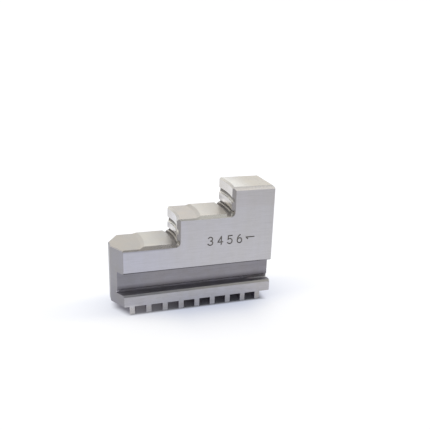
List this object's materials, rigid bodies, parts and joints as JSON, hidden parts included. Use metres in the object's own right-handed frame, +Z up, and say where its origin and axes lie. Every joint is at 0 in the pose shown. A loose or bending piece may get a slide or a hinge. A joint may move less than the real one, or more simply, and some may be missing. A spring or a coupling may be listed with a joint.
{
  "type": "lathe chuck outside jaw",
  "caption": "Hard stepped outside jaw for a scroll chuck, with arc-ground gripping faces, side guide grooves and curved scroll teeth.",
  "frame": {"origin": "under the middle of the jaw, on the plane of the tooth tips", "axes": "+X along the jaw, away from the chuck's axis, +Y across it, +Z up from the scroll to the steps"},
  "size_m": [0.0794, 0.0226, 0.0598],
  "materials": {
    "ground_steel": "hardened and surface ground, satin"
  },
  "bodies": {
    "root": {"jaw": "ground_steel"}
  },
  "joints": []
}
